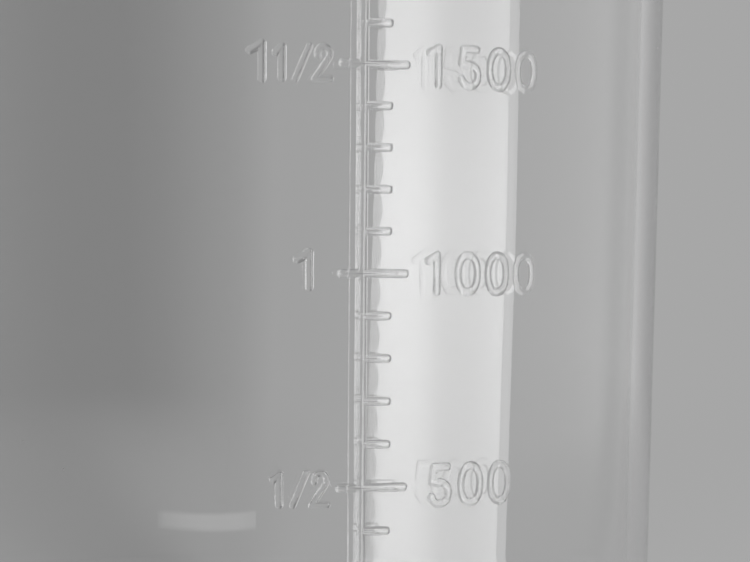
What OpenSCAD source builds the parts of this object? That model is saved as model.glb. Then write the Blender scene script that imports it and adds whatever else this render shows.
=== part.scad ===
// Two-litre graduated beaker, injection moulded in clear plastic.
// The vessel stands on z = 0 with its axis on Z. The scale faces -Y and the spout points to -X.

/* [Vessel] */
// Outside diameter of the wall, carried down to the standing plane
base_d = 143.2; // [110:0.1:180]
// Height of the wall and rim left above the largest volume
freeboard = 28.4; // [12:0.1:60]
// Wall thickness
wall_t = 3.8; // [1.5:0.1:5]
// Draft of the wall, in degrees: the vessel widens upwards
draft = 1.6; // [0.5:0.1:2.5]

/* [Base] */
// Thickness of the floor
floor_t = 4; // [2:0.1:7]
// Radius of the fillet between the floor and the inside of the wall
floor_fillet = 8; // [3:0.5:12]
// Radius of the edge between the underside and the outside of the wall
base_edge_r = 3; // [1:0.1:5]
// Height of the foot ring below the underside
foot_h = 1.5; // [0.5:0.1:4]
// Radial width of the foot ring
foot_w = 4; // [2:0.5:10]

/* [Rim and spout] */
// Height of the bead around the mouth
rim_h = 4.5; // [3:0.1:8]
// How far the bead stands out from the wall
rim_overhang = 1.8; // [0.5:0.1:4]
// Radius of the bead's rounded edges
rim_round = 1.4; // [0.5:0.1:1.4]
// Inside radius of the spout at the rim
spout_r = 18; // [12:0.5:26]
// How far the inside of the spout stands out past the inside of the mouth
spout_reach = 9; // [5:0.5:14]
// Slope of the spout's wall from the vertical, in degrees
spout_slope = 34; // [25:1:45]

/* [Scale] */
// Smallest volume on the scale, in millilitres
first_ml = 200; // [200:100:400]
// Width of the ticks and of every stroke of a numeral
mark_w = 1.4; // [1:0.1:2]
// Width of the spine
spine_w = 2; // [1:0.1:2.4]
// Height of the spine and the ticks above the wall
mark_relief = 0.6; // [0.3:0.05:1]
// Reach of a short tick to the right of the spine's centre
short_reach = 5; // [3.5:0.1:8]
// Reach of a long tick to the right of the spine's centre
long_reach = 7.8; // [5:0.1:9]
// Reach of a long tick to the left of the spine's centre
long_back = 3.9; // [3:0.1:4.2]
// How far the spine runs on past the first and the last tick
spine_run = 3.5; // [1:0.5:5]

/* [Millilitre numerals] */
// Height of the millilitre numerals above the wall
numeral_relief = 0.25; // [0.2:0.05:1]
// Height of the numerals
ml_cap = 7.15; // [4:0.05:9]
// Outer width of a round digit
ml_digit_w = 4.95; // [3:0.05:6]
// Distance from one digit's centre to the next
ml_pitch = 5.6; // [4:0.1:7]
// Reach and drop of the flag of the one
ml_flag = [1.55, 0.85]; // [0.5:0.05:2]
// Distance from the spine to the centre of a wide first digit
ml_start = 13.4; // [11:0.1:16]
// How much nearer the spine a narrow first digit stands
narrow_shift = 0.85; // [0:0.05:1.5]
// How much narrower a two or a five is than a zero
open_digit_trim = 0.4; // [0:0.05:1]

/* [Litre numerals] */
// Height of the litre numerals above the wall
litre_relief = 0.45; // [0.2:0.05:1]
// Height of a whole litre digit
litre_cap = 6.75; // [4:0.05:9]
// Reach and drop of the flag of a whole one
litre_flag = [1.85, 1.1]; // [0.5:0.05:2]
// Height of the digits of a fraction
fraction_cap = 6.05; // [4:0.05:8]
// Reach and drop of the flag of a one in a fraction
fraction_flag = [0.9, 0.8]; // [0.5:0.05:1.5]
// Height of the slash
slash_h = 6.1; // [4:0.05:8]
// Distance from the spine back to the right edge of a fraction
fraction_gap = 4.57; // [4:0.1:9]
// Width of the strokes of the slash and of the two under a fraction
fraction_mark_w = 1.15; // [0.8:0.05:1.4]
// Width of the two under a fraction
fraction_two_w = 3.56; // [2.5:0.05:5]
// Distance from the middle of the slash to the middle of the two
slash_gap = 3.08; // [2.8:0.05:4]
// How far the slash leans across its height
slash_lean = 2.1; // [1:0.05:3]
// Distance from the stem of the one to the middle of the two
fraction_w = 6.2; // [5.5:0.1:9]
// Distance from the spine back to the stem of a whole litre digit that stands alone
whole_gap = 8.15; // [6:0.05:12]
// Distance from the spine back to the centre of the two litres' digit
litre_two_gap = 9.15; // [7:0.05:12]
// Width of the two litres' digit
litre_two_w = 4.2; // [3:0.1:6]
// How far a whole one that stands alone is raised above its tick's middle
lone_lift = 0.6; // [-1:0.1:1]
// How far a whole one before a fraction is raised above its tick's middle
mixed_lift = 0.2; // [-1:0.1:1]
// Distance from the spine back to the stem of a whole digit that stands before a fraction
mixed_gap = 15.6; // [14:0.1:20]

/* [Hidden] */
$fn = 96;
clear_plastic = [0.86, 0.88, 0.89, 0.45];
clear_mark = [0.97, 0.98, 0.98, 0.8];

// Volume between one tick and the next, the number of steps from one long tick to the next, and
// the volume of the top tick, all in millilitres
step_ml = 100;
long_every = 5;
full_ml = 2000;
// A branch of a digit is drawn this much narrower than the stroke it leaves
branch_w = 0.96;
// Where the spine's centre stands, round the wall to the right of the -Y direction
spine_at = -0.6;

slope = tan(draft);
outer_r0 = base_d / 2;
floor_z = foot_h + floor_t;
wall_z = floor_z + floor_fillet;
edge_z = foot_h + base_edge_r;
inner_floor_r = outer_r(floor_z) - wall_t;
foot_r = outer_r(edge_z) - base_edge_r;
// Volume that the floor fillet takes from the cavity, by its area and the path of its centroid
fillet_centroid = 0.223 * floor_fillet;
fillet_loss = (1 - PI / 4) * pow(floor_fillet, 2) * 2 * PI * (inner_floor_r - fillet_centroid);
total_h = level(full_ml) + freeboard;
rim_z = total_h - rim_h;
mouth_r = outer_r(rim_z) - wall_t;
spout_x = mouth_r + spout_reach - spout_r;
spout_fall = tan(spout_slope);

// Outside radius of the wall at height z
function outer_r(z) = outer_r0 + slope * z;

// Height of the liquid's surface when the conical cavity holds this many millilitres
function level(ml) = floor_z
    + (pow(3 * slope * (ml * 1000 + fillet_loss) / PI + pow(inner_floor_r, 3), 1 / 3)
        - inner_floor_r) / slope;

// Points along an arc of an ellipse, from angle a to angle b
function arc(centre, rx, ry, a, b, steps = 12) =
    [for (i = [0:steps]) let (t = a + (b - a) * i / steps) centre + [rx * cos(t), ry * sin(t)]];

// Unit normal of a path at point i, from the points on both sides of it
function path_normal(path, i) =
    let (d = path[min(i + 1, len(path) - 1)] - path[max(i - 1, 0)]) [-d.y, d.x] / norm(d);

// Points of a round end: a half circle about a point, clockwise from the direction of a normal
function round_end(centre, normal, r, steps = 8) =
    [for (i = [1:steps - 1]) let (t = -180 * i / steps)
        centre + r * [normal.x * cos(t) - normal.y * sin(t), normal.x * sin(t) + normal.y * cos(t)]];

// Outline of a line of even width along a path, with round ends
function outline(path, width) =
    let (r = width / 2, last = len(path) - 1)
    concat(
        [for (i = [0:last]) path[i] + r * path_normal(path, i)],
        round_end(path[last], path_normal(path, last), r),
        [for (i = [last:-1:0]) path[i] - r * path_normal(path, i)],
        round_end(path[0], -path_normal(path, 0), r));

// Turns a profile, given in radius and height, around the vessel's axis
module turned(profile) {
    rotate_extrude($fn = 180) polygon(profile);
}

// A pen stroke. A branch starts inside another stroke and is a little narrower than it.
module stroke(path, width = mark_w, branch = false) {
    polygon(outline(path, width * (branch ? branch_w : 1)));
}

// The layer between the vessel's conical outside and the top of marks that stand this high
module mark_layer(relief) {
    turned([
        [outer_r(edge_z), edge_z],
        [outer_r(edge_z) + relief, edge_z],
        [outer_r(rim_z) + relief, rim_z],
        [outer_r(rim_z), rim_z]]);
}

// Raises a flat drawing from the wall, at a distance round the wall from the spine and at a height
module raised(along, z, relief = litre_relief) {
    reach = outer_r(rim_z) + 2 * relief;
    intersection() {
        rotate((spine_at + along) / outer_r(z) * 180 / PI)
            translate([0, 0, z])
                rotate([90, 0, 0])
                    linear_extrude(reach) children();
        mark_layer(relief);
    }
}

// Digits are drawn about the middle of their height. cap is the outer height.
module digit_0(cap, width) {
    rx = width / 2;
    ry = cap / 2;
    difference() {
        polygon(oval(rx, ry));
        polygon(oval(rx - mark_w, ry - mark_w));
    }
}

// Outline of a tall zero, a little squarer than an ellipse
function oval(rx, ry, squareness = 0.88, steps = 40) =
    [for (i = [0:steps - 1]) let (t = 360 * i / steps)
        [rx * sign(cos(t)) * pow(abs(cos(t)), squareness),
         ry * sign(sin(t)) * pow(abs(sin(t)), squareness)]];

// The stem stands on x = 0. The flag hangs to its left, by the given reach and drop.
module digit_1(cap, flag) {
    top = (cap - mark_w) / 2;
    stroke([[0, -top], [0, top]]);
    stroke([[-0.05, top - 0.06], [-0.5 * flag.x, top - 0.6 * flag.y], [-flag.x, top - flag.y]],
        branch = true);
}

// Hooked bowl at the top, a slanting neck and a straight foot a little wider than the bowl
module digit_2(cap, width, line_w = mark_w) {
    top = (cap - line_w) / 2;
    foot_x = (width - line_w) / 2;
    bowl_ry = 0.93 * foot_x;
    stroke([[-foot_x, -top], [foot_x, -top]], line_w);
    stroke(concat(
        arc([0.13 * foot_x, top - bowl_ry], 0.8 * foot_x, bowl_ry, 190, -25),
        [[0.08 - foot_x, 0.06 - top]]), line_w, branch = true);
}

// Flat top, short leaning stem and an open bowl
module digit_5(cap, width) {
    top = (cap - mark_w) / 2;
    rx = (width - mark_w) / 2;
    bowl_ry = 0.58 * top;
    bowl_y = bowl_ry - top;
    corner = [-0.76 * rx, top];
    shoulder = [-0.93 * rx, bowl_y + 1.1 * bowl_ry];
    stroke([corner, [0.82 * rx, top]]);
    stroke([corner + [0.04, -0.1], shoulder], branch = true);
    stroke(concat([shoulder + [0.1, 0.03]], arc([0, bowl_y], rx, bowl_ry, 105, -160)));
}

module slash(cap, lean, line_w) {
    top = (cap - line_w) / 2;
    stroke([[-lean / 2, -top], [lean / 2, top]], line_w);
}

// A volume in millilitres to the right of the spine, level with its tick
module ml_numeral(ml) {
    digits = str(ml);
    narrow_first = digits[0] == "1";
    start = ml_start - (narrow_first ? narrow_shift : 0);
    for (i = [0:len(digits) - 1]) {
        raised(start + i * ml_pitch, level(ml), numeral_relief) {
            if (digits[i] == "0") digit_0(ml_cap, ml_digit_w);
            if (digits[i] == "1") digit_1(ml_cap, ml_flag);
            if (digits[i] == "2") digit_2(ml_cap, ml_digit_w - open_digit_trim);
            if (digits[i] == "5") digit_5(ml_cap, ml_digit_w - open_digit_trim);
        }
    }
}

// One over two, ending at the fraction gap from the spine
module half_sign(ml) {
    two_at = fraction_gap + fraction_two_w / 2;
    raised(-two_at, level(ml)) digit_2(fraction_cap, fraction_two_w, fraction_mark_w);
    raised(-two_at - slash_gap, level(ml)) slash(slash_h, slash_lean, fraction_mark_w);
    raised(-two_at - fraction_w, level(ml)) digit_1(fraction_cap, fraction_flag);
}

module vessel_wall() {
    color(clear_plastic)
        difference() {
            turned([
                [outer_r(wall_z) - wall_t, wall_z],
                [outer_r(wall_z), wall_z],
                [outer_r(rim_z), rim_z],
                [outer_r(rim_z) - wall_t, rim_z]]);
            spout_cone(0);
        }
}

module base() {
    fillet_r = outer_r(wall_z) - wall_t - floor_fillet;
    color(clear_plastic)
        turned(concat(
            [[0, foot_h], [foot_r, foot_h]],
            arc([foot_r, edge_z], base_edge_r, base_edge_r, -75, -draft, 6),
            [[outer_r(wall_z), wall_z]],
            arc([fillet_r, wall_z], floor_fillet, floor_fillet, 0, -90, 12),
            [[0, floor_z]]));
}

module foot_ring() {
    color(clear_plastic)
        difference() {
            cylinder(h = foot_h, r1 = foot_r - foot_h / 3, r2 = foot_r);
            translate([0, 0, -1]) cylinder(h = foot_h + 2, r = foot_r - foot_w);
        }
}

// The spout's space, a cone whose upright axis stands inside the mouth; grown outwards by grow
module spout_cone(grow) {
    cone_h = (spout_r + grow) / spout_fall;
    translate([-spout_x, 0, rim_z - cone_h])
        cylinder(h = cone_h, r1 = 0, r2 = spout_r + grow, $fn = 120);
}

// Everything inside the wall's outer surface, from the base to above the rim
module vessel_body() {
    turned([[0, wall_z], [outer_r(wall_z), wall_z], [outer_r(total_h), total_h], [0, total_h]]);
}

module pouring_spout() {
    color(clear_plastic)
        difference() {
            spout_cone(wall_t);
            spout_cone(0);
            vessel_body();
        }
}

// Section of the bead: square to the mouth inside, overhanging outside, with rounded edges
function bead_profile(inner_r) =
    let (out = inner_r + wall_t + rim_overhang, top = total_h, r = rim_round)
    concat(
        [[inner_r, rim_z], [out - r, rim_z]],
        arc([out - r, rim_z + r], r, r, -75, 0, 5),
        arc([out - r, top - r], r, r, 0, 90, 6),
        arc([inner_r + r, top - r], r, r, 90, 180, 6));

module rim_bead() {
    color(clear_plastic) {
        difference() {
            turned(bead_profile(mouth_r));
            translate([-spout_x, 0, rim_z - 1]) cylinder(h = rim_h + 2, r = spout_r, $fn = 120);
        }
        difference() {
            translate([-spout_x, 0, 0]) turned(bead_profile(spout_r));
            translate([0, 0, rim_z - 1]) cylinder(h = rim_h + 2, r = mouth_r, $fn = 180);
        }
    }
}

module scale_spine() {
    low = level(first_ml) - spine_run;
    high = level(full_ml) + spine_run;
    color(clear_mark)
        raised(0, low, mark_relief)
            stroke([[0, spine_w / 2], [0, high - low - spine_w / 2]], spine_w);
}

// A tick at one volume, drawn from its left end to its right end and parted by the spine
module tick(ml, left, right) {
    raised(0, level(ml), mark_relief)
        difference() {
            stroke([[-left + mark_w / 2, 0], [right - mark_w / 2, 0]]);
            square([spine_w, 2 * mark_w], center = true);
        }
}

module short_ticks() {
    color(clear_mark)
        for (n = [first_ml / step_ml:full_ml / step_ml])
            if (n % long_every != 0) tick(n * step_ml, 0, short_reach);
}

module long_ticks() {
    color(clear_mark)
        for (n = [long_every:long_every:full_ml / step_ml])
            tick(n * step_ml, long_back, long_reach);
}

module numeral_500() { color(clear_mark) ml_numeral(500); }

module numeral_1000() { color(clear_mark) ml_numeral(1000); }

module numeral_1500() { color(clear_mark) ml_numeral(1500); }

module numeral_2000() { color(clear_mark) ml_numeral(2000); }

module litre_half() { color(clear_mark) half_sign(500); }

module litre_one() {
    color(clear_mark) raised(-whole_gap, level(1000) + lone_lift) digit_1(litre_cap, litre_flag);
}

module litre_one_and_half() {
    color(clear_mark) {
        half_sign(1500);
        raised(-mixed_gap, level(1500) + mixed_lift) digit_1(litre_cap, litre_flag);
    }
}

module litre_two() {
    color(clear_mark) raised(-litre_two_gap, level(2000)) digit_2(litre_cap, litre_two_w);
}

vessel_wall();
base();
foot_ring();
rim_bead();
pouring_spout();
scale_spine();
short_ticks();
long_ticks();
numeral_500();
numeral_1000();
numeral_1500();
numeral_2000();
litre_half();
litre_one();
litre_one_and_half();
litre_two();
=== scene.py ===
# Two-litre graduated beaker in clear moulded plastic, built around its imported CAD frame.
# The vessel stands on z = 0 with its axis on Z, the scale faces -Y and the spout points to -X.
import math

import bmesh
import bpy
from mathutils import Matrix, Vector


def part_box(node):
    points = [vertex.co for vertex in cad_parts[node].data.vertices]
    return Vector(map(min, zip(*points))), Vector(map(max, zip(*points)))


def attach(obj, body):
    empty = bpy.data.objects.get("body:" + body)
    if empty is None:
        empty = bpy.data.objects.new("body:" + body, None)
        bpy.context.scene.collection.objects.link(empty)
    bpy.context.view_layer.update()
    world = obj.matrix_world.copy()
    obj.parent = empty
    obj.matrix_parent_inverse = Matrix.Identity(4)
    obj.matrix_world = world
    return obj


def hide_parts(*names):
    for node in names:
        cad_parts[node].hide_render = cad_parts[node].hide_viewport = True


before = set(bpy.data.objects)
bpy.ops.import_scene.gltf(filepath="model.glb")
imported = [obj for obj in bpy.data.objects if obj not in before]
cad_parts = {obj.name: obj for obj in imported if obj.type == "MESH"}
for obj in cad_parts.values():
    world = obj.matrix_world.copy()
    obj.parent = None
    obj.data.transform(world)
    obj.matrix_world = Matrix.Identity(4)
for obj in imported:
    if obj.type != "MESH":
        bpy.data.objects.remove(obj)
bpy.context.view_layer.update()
MM = 0.001

# ---------------------------------------------------------------------------------------------
# Raised marks. They are cut into the steel of the mould with a ball-nosed cutter, so on the
# plastic they stand as low round beads with round ends, one skin with the wall. They are laid
# out flat, with u along the arc, v up the wall and h off it, before they are wrapped round it.
stroke_w = 1.4 * MM
spine_w, spine_at = 2 * MM, -0.6 * MM
# The spine and the ticks stand highest, and the millilitre numerals lowest
scale_relief, litre_relief, numeral_relief = 0.6 * MM, 0.45 * MM, 0.25 * MM
wall_t = 3.8 * MM
floor_z = 5.5 * MM
floor_fillet = 8 * MM
draft = math.radians(1.6)
slope = math.tan(draft)
wall_low, wall_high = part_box("vessel_wall")
spine_low, spine_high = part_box("scale_spine")
rim_z = wall_high.z


def outer_r(z):
    """Outside radius of the wall at a height."""
    return wall_high.y - slope * (rim_z - z)


floor_r = outer_r(floor_z) - wall_t
fillet_loss = (1 - math.pi / 4) * floor_fillet**2 * 2 * math.pi * (floor_r - 0.223 * floor_fillet)


def level(ml):
    """Height of the liquid's surface in the conical cavity."""
    volume = ml * 1e-6 + fillet_loss
    return floor_z + ((3 * slope * volume / math.pi + floor_r**3) ** (1 / 3) - floor_r) / slope


reference_r = outer_r(level(1000))


def arc(centre, rx, ry, start, end, steps=14):
    """Points along an arc of an ellipse, in millimetres, between two angles in degrees."""
    angles = [math.radians(start + (end - start) * i / steps) for i in range(steps + 1)]
    return [(centre[0] + rx * math.cos(a), centre[1] + ry * math.sin(a)) for a in angles]


def zero_path(cap, width, steps=40):
    """Skeleton of a tall zero, a little squarer than an ellipse. It ends where it starts."""
    rx, ry = (width - 1.4) / 2, (cap - 1.4) / 2
    turns = [2 * math.pi * (i + 0.5) / steps for i in range(steps + 1)]
    swell = 0.9
    return [(rx * math.copysign(abs(math.cos(a)) ** swell, math.cos(a)),
             ry * math.copysign(abs(math.sin(a)) ** swell, math.sin(a))) for a in turns]


def one_paths(cap, reach, drop):
    """Stem on u = 0 with a flag that hangs to its left."""
    top = (cap - 1.4) / 2
    flag = [(-0.05, top - 0.06), (-0.5 * reach, top - 0.6 * drop), (-reach, top - drop)]
    return [[(0, -top), (0, top)], flag]


def two_paths(cap, width, line_w=1.4):
    """Hooked bowl with a slanting neck, and a straight foot."""
    top, foot = (cap - line_w) / 2, (width - line_w) / 2
    bowl = 0.93 * foot
    hook = arc((0.13 * foot, top - bowl), 0.8 * foot, bowl, 190, -25)
    return [[(-foot, -top), (foot, -top)], hook + [(0.08 - foot, 0.06 - top)]]


def five_paths(cap, width):
    """Flat top, short leaning stem and an open bowl."""
    top, rx = (cap - 1.4) / 2, (width - 1.4) / 2
    bowl = 0.58 * top
    middle = bowl - top
    shoulder = (-0.93 * rx, middle + 1.1 * bowl)
    round_part = arc((0, middle), rx, bowl, 105, -160, steps=20)
    return [[(-0.76 * rx, top), (0.82 * rx, top)],
            [(-0.72 * rx, top - 0.1), shoulder],
            [(shoulder[0] + 0.1, shoulder[1] + 0.03), *round_part]]


def placed(paths, along, z, width=stroke_w, relief=litre_relief):
    """Moves a digit's paths to a distance round the wall from the spine and to a height."""
    stretch = reference_r / outer_r(z)
    return [([Vector(((along + u) * MM * stretch, z + v * MM, 0)) for u, v in path], width,
             relief * width / stroke_w) for path in paths]


def millilitres(number):
    """The digits of a volume in millilitres, to the right of its long tick."""
    pitch, start, cap, round_w = 5.6, 12.8, 7.15, 4.95
    strokes = []
    for i, digit in enumerate(str(number)):
        along = start + i * pitch - (0.85 if str(number)[0] == "1" else 0)
        paths = {"0": lambda: [zero_path(cap, round_w)], "1": lambda: one_paths(cap, 1.55, 0.85),
                 "2": lambda: two_paths(cap, round_w - 0.4),
                 "5": lambda: five_paths(cap, round_w - 0.4)}[digit]()
        strokes += placed(paths, along, level(number), relief=numeral_relief)
    return strokes


def half(ml):
    """One over two, to the left of its long tick, with finer strokes for the slash and the two."""
    two_at, fine = -6.95, 1.15
    lean, rise = 2.1, 6.1 - fine
    slash = [[(-lean / 2, -rise / 2), (lean / 2, rise / 2)]]
    return (placed(two_paths(6.05, 3.56, fine), two_at, level(ml), fine * MM)
            + placed(slash, two_at - 3.08, level(ml), fine * MM)
            + placed(one_paths(6.05, 0.9, 0.8), two_at - 6.2, level(ml)))


def scale_strokes():
    """The upright spine with a short tick each 100 ml and a long tick through it each 500 ml."""
    strokes = [([Vector((spine_at, spine_low.z + spine_w / 2, 0)),
                 Vector((spine_at, spine_high.z - spine_w / 2, 0))], spine_w, scale_relief)]
    for ml in range(200, 2001, 100):
        left, right = (-3.8, 6.5) if ml % 500 == 0 else (0, 3.7)
        strokes += placed([[(left, 0), (right, 0)]], 0, level(ml), relief=scale_relief)
    return strokes


def litre_one():
    return placed(one_paths(6.75, 1.85, 1.1), -8.75, level(1000) + 0.6 * MM)


def litre_one_and_half():
    return half(1500) + placed(one_paths(6.75, 1.85, 1.1), -16.2, level(1500) + 0.2 * MM)


def litre_two():
    return placed(two_paths(6.75, 4.2), -9.75, level(2000))


marks = {
    "graduation_scale": (scale_strokes(), ["scale_spine", "short_ticks", "long_ticks"]),
    "numeral_500": (millilitres(500), ["numeral_500"]),
    "numeral_1000": (millilitres(1000), ["numeral_1000"]),
    "numeral_1500": (millilitres(1500), ["numeral_1500"]),
    "numeral_2000": (millilitres(2000), ["numeral_2000"]),
    "litre_half": (half(500), ["litre_half"]),
    "litre_one": (litre_one(), ["litre_one"]),
    "litre_one_and_half": (litre_one_and_half(), ["litre_one_and_half"]),
    "litre_two": (litre_two(), ["litre_two"]),
}


def bead_frame(centre, direction, radius):
    """Matrix that turns a unit circle into the bead's section at one place on its path."""
    side, up = Vector((-direction.y, direction.x, 0)) * radius, Vector((0, 0, radius))
    return Matrix.Translation(centre) @ Matrix((side, up, direction)).transposed().to_4x4()


def lay_bead(bm, path, width, relief, tag):
    """Sweeps a round rod with round ends along a path, sunk so deep that a low bead stands out."""
    radius = ((width / 2) ** 2 + relief**2) / 2 / relief
    path = [point + Vector((0, 0, relief - radius)) for point in path]
    last = len(path) - 1
    closed = (path[0] - path[last]).length < radius / 10
    ways = [(path[min(i + 1, last)] - path[max(i - 1, 0)]).normalized() for i in range(last + 1)]
    if closed:
        ways[0] = ways[last] = (path[1] - path[last - 1]).normalized()
    stations = [(point, way, 1) for point, way in zip(path, ways)]
    if not closed:
        for degrees in (72, 54, 36, 20, 8):
            share, back = math.sin(math.radians(degrees)), radius * math.cos(math.radians(degrees))
            stations.insert(0, (path[0] - ways[0] * back, ways[0], share))
            stations.append((path[last] + ways[last] * back, ways[last], share))
    else:
        stations.pop()
    first_face = len(bm.faces)
    section = bead_frame(*stations[0][:2], radius * stations[0][2])
    ring = bmesh.ops.create_circle(bm, cap_ends=not closed, radius=1, segments=28,
                                   matrix=section @ Matrix.Rotation(math.radians(4), 4, "Z"))
    first_ring = edges = list({e for v in ring["verts"] for e in v.link_edges})
    for centre, way, share in stations[1:]:
        step = bead_frame(centre, way, radius * share)
        made = bmesh.ops.extrude_edge_only(bm, edges=edges)["geom"]
        edges = [g for g in made if isinstance(g, bmesh.types.BMEdge)]
        verts = [g for g in made if isinstance(g, bmesh.types.BMVert)]
        edges = [e for e in edges if all(v in verts for v in e.verts)]
        bmesh.ops.transform(bm, matrix=step @ section.inverted(), verts=verts)
        section = step
    if closed:
        bmesh.ops.bridge_loops(bm, edges=first_ring + edges)
    else:
        bmesh.ops.contextual_create(bm, geom=edges)
    bm.faces.ensure_lookup_table()
    for face in bm.faces[first_face:]:
        face.material_index = tag


# ---------------------------------------------------------------------------------------------
# Skin. The wall's outside with the marks on it is one surface in the mould, so the beads are
# united with a flat sheet as wide as the wall's circumference. The columns are narrower behind
# the marks, where the camera sees the curve of the wall best.
skin_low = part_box("base")[0].z + 3 * MM
skin_high = spine_high.z + 1.2 * MM
fine_from, fine_to, fine_step, coarse_step = -24 * MM, 37 * MM, 1 * MM, 3 * MM
half_round = math.pi * reference_r


def column_places():
    """Places of the sheet's columns, closer together behind the marks."""
    spans = [(-half_round, fine_from, coarse_step), (fine_from, fine_to, fine_step),
             (fine_to, half_round, coarse_step)]
    places = [-half_round]
    for start, end, step in spans:
        count = round((end - start) / step)
        places += [start + (end - start) * (i + 1) / count for i in range(count)]
    return places


def flat_mesh(bm, name):
    """A mesh from a bmesh, which is then freed, with one material slot for each tag."""
    mesh = bpy.data.meshes.new(name)
    bm.to_mesh(mesh)
    bm.free()
    for _ in range(2 * len(marks) + 2):
        mesh.materials.append(None)
    return mesh


def flat_sheet():
    bm = bmesh.new()
    places = column_places()
    foot = bm.verts.new((places[0], skin_low, 0))
    head = bm.verts.new((places[0], skin_high, 0))
    edge = bm.edges.new((foot, head))
    for before, place in zip(places, places[1:]):
        made = bmesh.ops.extrude_edge_only(bm, edges=[edge])["geom"]
        verts = [g for g in made if isinstance(g, bmesh.types.BMVert)]
        bmesh.ops.translate(bm, vec=(place - before, 0, 0), verts=verts)
        edge = next(e for e in verts[0].link_edges if e.other_vert(verts[0]) in verts)
    rows = 11
    for row in range(1, rows):
        height = skin_low + (skin_high - skin_low) * row / rows
        bmesh.ops.bisect_plane(bm, geom=bm.verts[:] + bm.edges[:] + bm.faces[:],
                               plane_co=(0, height, 0), plane_no=(0, 1, 0))
    backing = bmesh.ops.extrude_face_region(bm, geom=bm.faces[:])["geom"]
    bmesh.ops.translate(bm, vec=(0, 0, -2 * MM),
                        verts=[g for g in backing if isinstance(g, bmesh.types.BMVert)])
    bmesh.ops.recalc_face_normals(bm, faces=bm.faces[:])
    return bpy.data.objects.new("sheet", flat_mesh(bm, "sheet"))


def all_beads():
    bm = bmesh.new()
    for tag, (strokes, _) in enumerate(marks.values(), start=1):
        for path, width, relief in strokes:
            lay_bead(bm, path, width, relief, tag)
    bmesh.ops.recalc_face_normals(bm, faces=bm.faces[:])
    return bpy.data.objects.new("beads", flat_mesh(bm, "beads"))


def united_skin():
    """The flat sheet with all the beads on it, as a bmesh without its sides and its back."""
    sheet, beads = flat_sheet(), all_beads()
    for piece in (sheet, beads):
        bpy.context.scene.collection.objects.link(piece)
    union = sheet.modifiers.new("union", "BOOLEAN")
    union.operation = "UNION"
    union.solver = "EXACT"
    union.use_self = True
    union.material_mode = "INDEX"
    union.object = beads
    graph = bpy.context.evaluated_depsgraph_get()
    bm = bmesh.new()
    bm.from_mesh(sheet.evaluated_get(graph).to_mesh())
    for piece in (sheet, beads):
        bpy.data.objects.remove(piece)
    tiny = 0.001 * MM
    bmesh.ops.delete(bm, context="FACES", geom=[f for f in bm.faces if f.material_index == 0
                     and any(abs(v.co.z) > tiny for v in f.verts)])
    bmesh.ops.delete(bm, context="FACES",
                     geom=[f for f in bm.faces if f.calc_center_median().z < -tiny])
    return bm


def bond(bm, tag):
    """Closes a mark's underside where it grows out of the wall, with faces of the next tag."""
    outline = [e for e in bm.edges if sorted(f.material_index for f in e.link_faces) == [0, tag]]
    made = bmesh.ops.triangle_fill(bm, edges=outline, use_beauty=True, normal=(0, 0, 1))["geom"]
    for face in made:
        if isinstance(face, bmesh.types.BMFace):
            face.material_index = len(marks) + tag
            if face.normal.z < 0:
                face.normal_flip()


skin = united_skin()
for skin_tag in range(1, len(marks) + 1):
    bond(skin, skin_tag)


def wrap_point(place):
    """Where a point of the flat sheet lies on the wall."""
    turn = place.x / reference_r
    radius = outer_r(place.y) + place.z * math.cos(draft)
    return Vector((radius * math.sin(turn), -radius * math.cos(turn),
                   place.y - place.z * math.sin(draft)))


def wrap_normal(normal, place):
    """Turns a normal of the flat sheet as the sheet is wrapped."""
    turn = place.x / reference_r
    out = Vector((math.sin(turn), -math.cos(turn), 0))
    along = Vector((math.cos(turn), math.sin(turn), 0))
    off = out * math.cos(draft) - Vector((0, 0, math.sin(draft)))
    up = out * math.sin(draft) + Vector((0, 0, math.cos(draft)))
    return along * normal.x + up * normal.y + off * normal.z


# ---------------------------------------------------------------------------------------------
# Clear styrene-acrylonitrile, injection moulded and polished. It gives sharp, bright mirrors of
# the lamps on both faces of the wall, and a faint unevenness where the melt shrank.
def linear(code):
    """Linear colour from an sRGB hex value."""
    parts = [int(code[i:i + 2], 16) / 255 for i in (0, 2, 4)]
    return [p / 12.92 if p <= 0.04045 else ((p + 0.055) / 1.055) ** 2.4 for p in parts] + [1.0]


def add_node(tree, kind, links=(), **settings):
    """Adds a node. Settings name its properties or sockets, links say what feeds its sockets."""
    node = tree.nodes.new(kind)
    for name, value in settings.items():
        if name in node.inputs:
            node.inputs[name].default_value = value
        else:
            setattr(node, name, value)
    for name, source in dict(links).items():
        tree.links.new(source, node.inputs[name])
    return node


def blank_material(name):
    material = bpy.data.materials.new(name)
    material.use_nodes = True
    material.node_tree.nodes.clear()
    return material, material.node_tree


def sum_of(tree, operation, first, second):
    """A maths node on two values, each a number or another node's output."""
    node = tree.nodes.new("ShaderNodeMath")
    node.operation = operation
    for socket, value in zip(node.inputs, (first, second)):
        if isinstance(value, bpy.types.NodeSocket):
            tree.links.new(value, socket)
        else:
            socket.default_value = value
    return node.outputs[0]


def ramp_between(tree, value, low, high):
    """Rises smoothly from 0 to 1 as a value goes from low to high."""
    node = add_node(tree, "ShaderNodeMapRange", {"Value": value})
    node.interpolation_type = "SMOOTHSTEP"
    node.inputs["From Min"].default_value = low
    node.inputs["From Max"].default_value = high
    return node.outputs[0]


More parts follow.
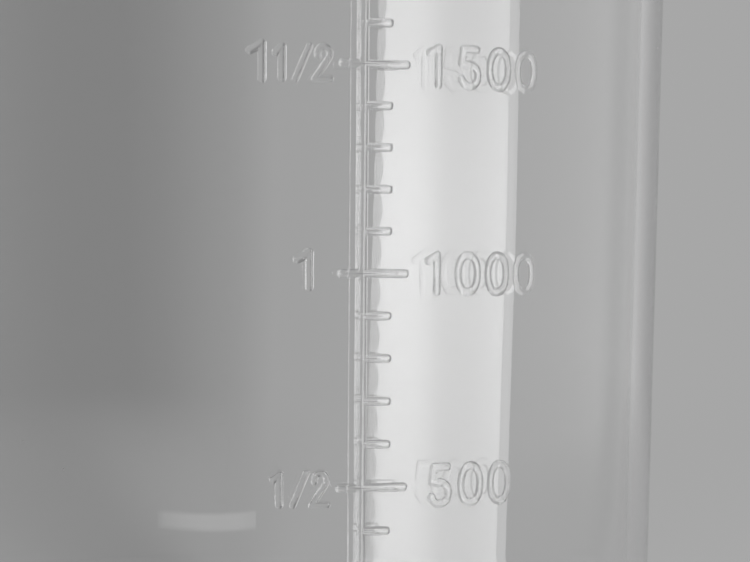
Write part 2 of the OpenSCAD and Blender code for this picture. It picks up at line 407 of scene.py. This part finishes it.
def hollow_by_the_spine(tree, place):
    """Height of the outside beside the spine, in millimetres. The polisher's stick couldn't reach
    into the corners by the ticks, so it left a shallow hollow between each tick and the next."""
    parts = add_node(tree, "ShaderNodeSeparateXYZ", {0: place})
    x, y, z = (parts.outputs[axis] for axis in "XYZ")
    turn = sum_of(tree, "ARCTAN2", x, sum_of(tree, "MULTIPLY", y, -1))
    along = sum_of(tree, "MULTIPLY", turn, reference_r / MM)
    inner = sum_of(tree, "ADD", sum_of(tree, "MULTIPLY", z, slope), floor_r - slope * floor_z)
    cone = math.pi / 3 / slope * 1e4
    filled = sum_of(tree, "MULTIPLY", sum_of(tree, "POWER", inner, 3), cone)
    steps = sum_of(tree, "ADD", filled, -cone * floor_r**3 - fillet_loss * 1e4)
    between = sum_of(tree, "PINGPONG", steps, 0.5)
    middle = ramp_between(tree, between, 0.05, 0.4)
    rise = sum_of(tree, "SUBTRACT", ramp_between(tree, along, 0.3, 3.3),
                  ramp_between(tree, along, 4.5, 12))
    radius = sum_of(tree, "SQRT", sum_of(tree, "ADD", sum_of(tree, "POWER", x, 2),
                                         sum_of(tree, "POWER", y, 2)), 0)
    past_inside = sum_of(tree, "SUBTRACT", radius, inner)
    outside = sum_of(tree, "GREATER_THAN", past_inside, wall_t / 2)
    shape = sum_of(tree, "MULTIPLY", sum_of(tree, "MULTIPLY", rise, middle), outside)
    return sum_of(tree, "MULTIPLY", shape, 0.028)


def moulded_san(name):
    material, tree = blank_material(name)
    places = add_node(tree, "ShaderNodeTexCoord")
    place = places.outputs["Object"]
    sink = add_node(tree, "ShaderNodeTexNoise", {"Vector": place})
    sink.inputs["Scale"].default_value = 55
    sink.inputs["Detail"].default_value = 1
    waves = sum_of(tree, "MULTIPLY", sink.outputs[0], 0.012)
    height = sum_of(tree, "ADD", waves, hollow_by_the_spine(tree, place))
    uneven = add_node(tree, "ShaderNodeBump", {"Height": height})
    uneven.inputs["Strength"].default_value = 1
    uneven.inputs["Distance"].default_value = MM
    grains = add_node(tree, "ShaderNodeTexVoronoi", {"Vector": place})
    grains.inputs["Scale"].default_value = 110
    grains.inputs["Randomness"].default_value = 1
    rarity = add_node(tree, "ShaderNodeSeparateColor", {0: grains.outputs["Color"]})
    speck = sum_of(tree, "MULTIPLY", sum_of(tree, "LESS_THAN", grains.outputs["Distance"], 0.024),
                   sum_of(tree, "LESS_THAN", rarity.outputs[0], 0.1))
    roughness = sum_of(tree, "ADD", sum_of(tree, "MULTIPLY", speck, 0.35), 0.015)
    plastic = add_node(tree, "ShaderNodeBsdfPrincipled",
                       {"Roughness": roughness, "Normal": uneven.outputs["Normal"]})
    plastic.inputs["Base Color"].default_value = linear("fcfcfc")
    plastic.inputs["IOR"].default_value = 1.5
    plastic.inputs["Transmission Weight"].default_value = 1
    add_node(tree, "ShaderNodeOutputMaterial", {"Surface": plastic.outputs["BSDF"]})
    return material


def grown_together():
    """Where a mark and the wall are one piece of plastic nothing bends or mirrors the light."""
    material, tree = blank_material("one_moulding")
    inside = add_node(tree, "ShaderNodeBsdfPrincipled")
    inside.inputs["Base Color"].default_value = linear("ffffff")
    inside.inputs["Alpha"].default_value = 0
    add_node(tree, "ShaderNodeOutputMaterial", {"Surface": inside.outputs["BSDF"]})
    return material


san = moulded_san("moulded_san")
joined = grown_together()


# ---------------------------------------------------------------------------------------------
# Each mark is a closed piece: its bead on the outside and the bond with the wall underneath.
def mark_piece(name, tag, nodes):
    bm = skin.copy()
    bonded = len(marks) + tag
    bmesh.ops.delete(bm, context="FACES",
                     geom=[f for f in bm.faces if f.material_index not in (tag, bonded)])
    for face in bm.faces:
        face.smooth = True
        face.material_index = int(face.material_index == bonded)
        if face.material_index:
            face.normal_flip()
    for edge in bm.edges:
        kinds = {f.material_index for f in edge.link_faces}
        edge.smooth = len(kinds) == 1 and edge.calc_face_angle(0) < math.radians(40)
    mesh = bpy.data.meshes.new(name)
    bm.to_mesh(mesh)
    bm.free()
    places = [v.co.copy() for v in mesh.vertices]
    normals = [wrap_normal(mesh.corner_normals[c.index].vector, places[c.vertex_index])
               for c in mesh.loops]
    for vertex, place in zip(mesh.vertices, places):
        vertex.co = wrap_point(place)
    mesh.normals_split_custom_set([tuple(n) for n in normals])
    mesh.materials.append(san)
    mesh.materials.append(joined)
    piece = bpy.data.objects.new(name, mesh)
    bpy.context.scene.collection.objects.link(piece)
    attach(piece, "root")
    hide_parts(*nodes)
    return piece


for mark_tag, (mark_name, (_, mark_nodes)) in enumerate(marks.items(), start=1):
    mark_piece(mark_name, mark_tag, mark_nodes)

# ---------------------------------------------------------------------------------------------
# Vessel. The rest of the body is drawn from the skin's two borders, ring by ring: up to the
# rounded rim and its drawn-out spout and down the inside to the floor, and under the outside to
# the foot ring. The spout is a cone that leans out of the wall and blends into it.
rim_low, rim_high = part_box("rim_bead")
foot_high_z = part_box("foot_ring")[1].z
total_h = rim_high.z
rim_round = 1.4 * MM
rim_overhang = 1.8 * MM
spout_r = 18 * MM
spout_slope = math.tan(math.radians(34))
spout_x = -rim_low.x - spout_r - wall_t - rim_overhang
spout_blend = 3.6 * MM


def mouth_curve(turn, z, offset):
    """Distance from the axis to the inside of the wall or spout, plus an offset."""
    wall = outer_r(min(z, rim_z)) - wall_t + offset
    cone_r = spout_r + offset - max(rim_z - z, 0) * spout_slope
    ahead, aside = -math.sin(turn) * spout_x, abs(math.cos(turn)) * spout_x
    if ahead <= 0 or cone_r <= aside:
        return wall
    spout = ahead + math.sqrt(cone_r**2 - aside**2)
    near = max(spout_blend - abs(wall - spout), 0)
    return max(wall, spout) + near**2 / spout_blend / 4


def draw_ring(bm, edges, z, radius):
    """Extrudes a ring of edges to a height. radius is a number, or gives one for each turn."""
    made = bmesh.ops.extrude_edge_only(bm, edges=edges)["geom"]
    verts = {g for g in made if isinstance(g, bmesh.types.BMVert)}
    for vert in verts:
        turn = math.atan2(vert.co.x, -vert.co.y)
        r = radius(turn) if callable(radius) else radius
        vert.co = (r * math.sin(turn), -r * math.cos(turn), z)
    return [g for g in made if isinstance(g, bmesh.types.BMEdge) and set(g.verts) <= verts]


def rim_profile():
    """Offsets from the inside of the mouth, and heights, round the bead from its underside."""
    out, top, r = wall_t + rim_overhang, total_h, rim_round
    low, mid_low, mid_high = rim_z, rim_z + r, top - r
    points = [(wall_t, low - 0.8 * MM), (wall_t + 0.25 * MM, low - 0.25 * MM), (wall_t + 0.8 * MM, low)]
    for degrees in range(-90, 1, 15):
        a = math.radians(degrees)
        points.append((out - r + r * math.cos(a), mid_low + r * math.sin(a)))
    for degrees in range(0, 91, 15):
        a = math.radians(degrees)
        points.append((out - r + r * math.cos(a), mid_high + r * math.sin(a)))
    for degrees in range(90, 181, 15):
        a = math.radians(degrees)
        points.append((r + r * math.cos(a), mid_high + r * math.sin(a)))
    return points


def draw_top(bm, ring):
    """The upper wall with the spout, the rim bead, the inner wall and the floor."""
    steps = 12
    for i in range(1, steps + 1):
        z = skin_high + (rim_z - 1.2 * MM - skin_high) * i / steps
        ring = draw_ring(bm, ring, z, lambda turn: mouth_curve(turn, z, wall_t))
    for offset, z in rim_profile():
        ring = draw_ring(bm, ring, z, lambda turn: mouth_curve(turn, z, offset))
    for i in range(steps + 1):
        z = rim_z + (skin_high - rim_z) * i / steps
        ring = draw_ring(bm, ring, z, lambda turn: mouth_curve(turn, z, 0))
    wall_foot = floor_z + floor_fillet
    for share in (0.5, 1):
        z = skin_high + (wall_foot - skin_high) * share
        ring = draw_ring(bm, ring, z, outer_r(z) - wall_t)
    centre_r = outer_r(wall_foot) - wall_t - floor_fillet
    for degrees in range(-10, -91, -10):
        a = math.radians(degrees)
        ring = draw_ring(bm, ring, wall_foot + floor_fillet * math.sin(a),
                         centre_r + floor_fillet * math.cos(a))
    ring = draw_ring(bm, ring, floor_z, centre_r / 2)
    bmesh.ops.contextual_create(bm, geom=ring)


def draw_foot(bm, ring):
    """The rounded lower edge, the foot ring and the recessed underside."""
    edge_r, lip = 3 * MM, 0.5 * MM
    foot_r = outer_r(skin_low) - edge_r
    foot_inner = foot_r - 4 * MM
    for degrees in (-15, -30, -45, -60, -75, -86):
        a = math.radians(degrees)
        ring = draw_ring(bm, ring, skin_low + edge_r * math.sin(a), foot_r + edge_r * math.cos(a))
    profile = [(foot_r, 0.85 * foot_high_z), (foot_r - 0.3 * lip, lip), (foot_r - lip, 0.3 * lip),
               (foot_r - 1.6 * lip, 0), (foot_inner + lip, 0), (foot_inner + 0.3 * lip, 0.3 * lip),
               (foot_inner, lip), (foot_inner - 0.3 * lip, 0.8 * foot_high_z),
               (foot_inner - 1.6 * lip, foot_high_z)]
    for r, z in profile:
        ring = draw_ring(bm, ring, z, r)
    ring = draw_ring(bm, ring, foot_high_z, foot_inner / 2)
    bmesh.ops.contextual_create(bm, geom=ring)


def vessel_body():
    bm = skin.copy()
    bmesh.ops.delete(bm, context="FACES",
                     geom=[f for f in bm.faces if 0 < f.material_index <= len(marks)])
    bmesh.ops.delete(bm, context="VERTS", geom=[v for v in bm.verts if not v.link_faces])
    for face in bm.faces:
        face.material_index = int(face.material_index > 0)
    for vert in bm.verts:
        vert.co = wrap_point(vert.co)
    bmesh.ops.remove_doubles(bm, verts=[v for v in bm.verts if v.is_boundary], dist=0.01 * MM)
    borders = [e for e in bm.edges if e.is_boundary]
    middle = (skin_low + skin_high) / 2
    draw_top(bm, [e for e in borders if e.verts[0].co.z > middle])
    draw_foot(bm, [e for e in borders if e.verts[0].co.z < middle])
    for face in bm.faces:
        face.smooth = True
    for edge in bm.edges:
        edge.smooth = edge.calc_face_angle(0) < math.radians(40)
    mesh = bpy.data.meshes.new("beaker_body")
    bm.normal_update()
    bm.to_mesh(mesh)
    bm.free()
    mesh.materials.append(san)
    mesh.materials.append(joined)
    normals = []
    for face in mesh.polygons:
        corners = [mesh.vertices[i].co for i in face.vertices]
        faces_out = face.normal.x * face.center.x + face.normal.y * face.center.y > 0
        depth, foot = (0, skin_low) if faces_out else (wall_t, floor_z + floor_fillet)
        on_cone = all(abs(math.hypot(c.x, c.y) - outer_r(c.z) + depth) < 0.005 * MM
                      and foot - MM / 10 < c.z < rim_z - MM for c in corners)
        for corner in corners:
            out = Vector((corner.x, corner.y, 0)).normalized() * math.cos(draft)
            normal = (out - Vector((0, 0, math.sin(draft)))) * (1 if faces_out else -1)
            normals.append(tuple(normal) if on_cone else (0, 0, 0))
    mesh.normals_split_custom_set(normals)
    piece = bpy.data.objects.new("beaker_body", mesh)
    bpy.context.scene.collection.objects.link(piece)
    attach(piece, "root")
    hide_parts("vessel_wall", "base", "foot_ring", "rim_bead", "pouring_spout")
    return piece


vessel_body()
skin.free()

# ---------------------------------------------------------------------------------------------
# Studio. A pale sweep runs from the floor up into a round wall, with no corner. A soft panel
# stands close by on the camera's right and shows in both faces of the wall as one bright strip.
floor_r_out, sweep_r, wall_top = 1.6, 0.5, 2.2
painted_under_glow = 0.3
# Painted glow of the paper, its light and shade, at compass bearings from +Y towards +X, in degrees:
# far off, and on the floor. Both are darkest just behind the vessel.
painted_paper_glow = [(-180, 0.3), (-120, 0.3), (-60, 0.55), (-20, 0.6), (-2, 0.15), (8.8, 0.15),
              (11.4, 0.21), (14.3, 0.31), (20, 0.33), (45, 0.31), (58, 0.45), (90, 0.5), (140, 0.3),
              (180, 0.3)]
painted_floor_glow = [(-180, 0.3), (-60, 0.32), (-20, 0.27), (3, 0.19), (10.5, 0.26), (18, 0.315),
              (60, 0.33), (180, 0.3)]


def glow_ramp(tree, value, low, high, stops):
    """Brightness, from (place, level) stops, as a value goes from low to high."""
    span = add_node(tree, "ShaderNodeMapRange", {"Value": value})
    span.inputs["From Min"].default_value = low
    span.inputs["From Max"].default_value = high
    ramp = add_node(tree, "ShaderNodeValToRGB", {"Fac": span.outputs[0]})
    ramp.color_ramp.interpolation = "EASE"
    elements = ramp.color_ramp.elements
    elements.remove(elements[1])
    for place, level_here in stops:
        element = elements.new((place - stops[0][0]) / (stops[-1][0] - stops[0][0]))
        element.color = (level_here, level_here, level_here, 1)
    elements.remove(elements[0])
    return ramp.outputs["Color"]


def mixed(tree, factor, low, high):
    """Mixes two values, each a number or another node's output."""
    node = add_node(tree, "ShaderNodeMix", {"Factor": factor}, data_type="FLOAT")
    for socket, value in zip(node.inputs[2:4], (low, high)):
        if isinstance(value, bpy.types.NodeSocket):
            tree.links.new(value, socket)
        else:
            socket.default_value = value
    return node.outputs[0]


def paper():
    """Matt background paper with painted light and shade in its glow: darkest straight behind the
    vessel's left half, and brighter towards the sides, where it gives the clear edges their bright
    lines. On the floor the painted glow dips just behind the vessel."""
    material, tree = blank_material("background_paper")
    places = add_node(tree, "ShaderNodeTexCoord")
    parts = add_node(tree, "ShaderNodeSeparateXYZ", {0: places.outputs["Object"]})
    bearing = sum_of(tree, "ARCTAN2", parts.outputs["X"], parts.outputs["Y"])
    flat = add_node(tree, "ShaderNodeCombineXYZ", {"X": parts.outputs["X"], "Y": parts.outputs["Y"]})
    out = add_node(tree, "ShaderNodeVectorMath", {0: flat.outputs[0]}, operation="LENGTH")
    far_glow = glow_ramp(tree, bearing, -math.pi, math.pi, painted_paper_glow)
    near_glow = glow_ramp(tree, bearing, -math.pi, math.pi, painted_floor_glow)
    near = mixed(tree, ramp_between(tree, out.outputs["Value"], 0.05, 0.16), painted_under_glow, near_glow)
    glow = mixed(tree, ramp_between(tree, out.outputs["Value"], 0.2, 1.2), near, far_glow)
    # Painted light: the paper's emission gives its light and shade by compass bearing, darkest just
    # behind the vessel on the wall and on the floor.
    sheet = add_node(tree, "ShaderNodeBsdfPrincipled", {"Emission Strength": glow})
    sheet.inputs["Base Color"].default_value = linear("6a6a6a")
    sheet.inputs["Roughness"].default_value = 0.9
    sheet.inputs["Specular IOR Level"].default_value = 0
    sheet.inputs["Emission Color"].default_value = (1, 1, 1, 1)
    add_node(tree, "ShaderNodeOutputMaterial", {"Surface": sheet.outputs["BSDF"]})
    return material


def studio_sweep():
    bm = bmesh.new()
    profile = [(0, 0), (0.3, 0), (0.8, 0), (floor_r_out - sweep_r, 0)]
    profile += [(floor_r_out - sweep_r + sweep_r * math.sin(a), sweep_r - sweep_r * math.cos(a))
                for a in (math.radians(d) for d in range(8, 91, 8))]
    profile += [(floor_r_out, wall_top), (0, wall_top)]
    verts = [bm.verts.new((r, 0, z)) for r, z in profile]
    edges = [bm.edges.new(pair) for pair in zip(verts, verts[1:])]
    bmesh.ops.spin(bm, geom=verts + edges, axis=(0, 0, 1), cent=(0, 0, 0), angle=2 * math.pi,
                   steps=96, use_merge=True)
    bmesh.ops.remove_doubles(bm, verts=bm.verts[:], dist=1e-5)
    bmesh.ops.recalc_face_normals(bm, faces=bm.faces[:])
    bmesh.ops.reverse_faces(bm, faces=bm.faces[:])
    for face in bm.faces:
        face.smooth = True
    mesh = bpy.data.meshes.new("studio_sweep")
    bm.to_mesh(mesh)
    bm.free()
    mesh.materials.append(paper())
    sweep = bpy.data.objects.new("studio_sweep", mesh)
    bpy.context.scene.collection.objects.link(sweep)


def light_panel(name, azimuth, corners, glow, share=1.0):
    """A glowing sheet beside the vessel that shows only as a mirror image in the nearest wall.
    Corners are (side, away, height) and glow is (side, level), with distances in metres."""
    a = math.radians(azimuth)
    side, away = Vector((math.cos(a), math.sin(a), 0)), Vector((math.sin(a), -math.cos(a), 0))
    bm = bmesh.new()
    bm.faces.new([bm.verts.new(side * s + away * d + Vector((0, 0, z))) for s, d, z in corners])
    mesh = bpy.data.meshes.new(name)
    bm.to_mesh(mesh)
    bm.free()
    material, tree = blank_material(name)
    place = add_node(tree, "ShaderNodeTexCoord").outputs["Object"]
    across = add_node(tree, "ShaderNodeVectorMath", {0: place}, operation="DOT_PRODUCT")
    across.inputs[1].default_value = side
    height = add_node(tree, "ShaderNodeSeparateXYZ", {0: place}).outputs["Z"]
    peak = max(g for _, g in glow)
    shades = [(s, g / peak) for s, g in glow]
    level_here = sum_of(tree, "MULTIPLY", glow_ramp(tree, height, 0, 0.2, panel_fade), glow_ramp(
        tree, across.outputs["Value"], glow[0][0], glow[-1][0], shades))
    path = add_node(tree, "ShaderNodeLightPath")
    near = sum_of(tree, "MULTIPLY", sum_of(tree, "LESS_THAN", path.outputs["Transmission Depth"], 3),
                  sum_of(tree, "GREATER_THAN", path.outputs["Glossy Depth"], 0))
    shine = add_node(tree, "ShaderNodeEmission",
                     {"Strength": sum_of(tree, "MULTIPLY", level_here, peak * share)})
    clear = add_node(tree, "ShaderNodeBsdfTransparent")
    seen = add_node(tree, "ShaderNodeMixShader", {0: near, 1: clear.outputs[0], 2: shine.outputs[0]})
    add_node(tree, "ShaderNodeOutputMaterial", {"Surface": seen.outputs[0]})
    mesh.materials.append(material)
    panel = bpy.data.objects.new(name, mesh)
    bpy.context.scene.collection.objects.link(panel)
    panel.visible_camera = False
    panel.visible_diffuse = False


studio_sweep()
panel_fade = [(0, 0.85), (0.08, 1), (0.13, 0.84), (0.2, 0.75)]
panel_glow = [(-0.092, 1.8), (-0.082, 5.0), (-0.074, 5.8), (-0.045, 5.8), (-0.03, 5.0),
              (-0.018, 4.0), (0.01, 3.85), (0.048, 4.3), (0.057, 3.4)]
light_panel("soft_panel", 35, [(-0.0905, 0.22, 0), (0.052, 0.22, 0), (0.057, 0.22, 0.08),
                               (0.053, 0.22, 0.2), (-0.073, 0.22, 0.2)], panel_glow)
# Painted pool of light on the table: a glowing sheet on the floor between the vessel and the panel,
# with the panel's glow, seen only in reflections.
light_panel("painted_table_light", 35, [(-0.055, 0.12, 0.0004), (0.031, 0.12, 0.0004), (0.052, 0.22, 0.0004),
                              (-0.0905, 0.22, 0.0004)], panel_glow, 0.95)
# Painted light: a glowing card lying on the floor between the camera and the vessel, seen only in
# reflections.
light_panel("painted_card_glow", -24, [(-0.0565, 0.272, 0.0004), (0.053, 0.272, 0.0004),
                              (0.058, 0.298, 0.0004), (-0.0635, 0.298, 0.0004)],
            [(-0.065, 1.1), (-0.02, 1.5), (0.03, 1.5), (0.06, 1.1)])

# ---------------------------------------------------------------------------------------------
# Camera, close to the wall and level with the middle of the scale, a little to its left.
camera_data = bpy.data.cameras.new("camera")
camera_data.lens = 108.8
camera_data.sensor_width = 36
camera = bpy.data.objects.new("camera", camera_data)
bpy.context.scene.collection.objects.link(camera)
camera_turn, camera_distance = math.radians(13.33), 0.42
pan, tilt = math.radians(3.04), math.radians(0.083)
camera.location = (-camera_distance * math.sin(camera_turn),
                   -camera_distance * math.cos(camera_turn), level(1000) - 1.66 * MM)
camera.rotation_euler = (math.pi / 2 + tilt, 0, -(camera_turn + pan))
bpy.context.scene.camera = camera

scene = bpy.context.scene
scene.view_settings.view_transform = "Standard"
scene.cycles.max_bounces = 24
scene.cycles.transmission_bounces = 24
scene.cycles.transparent_max_bounces = 32
scene.cycles.use_denoising = True
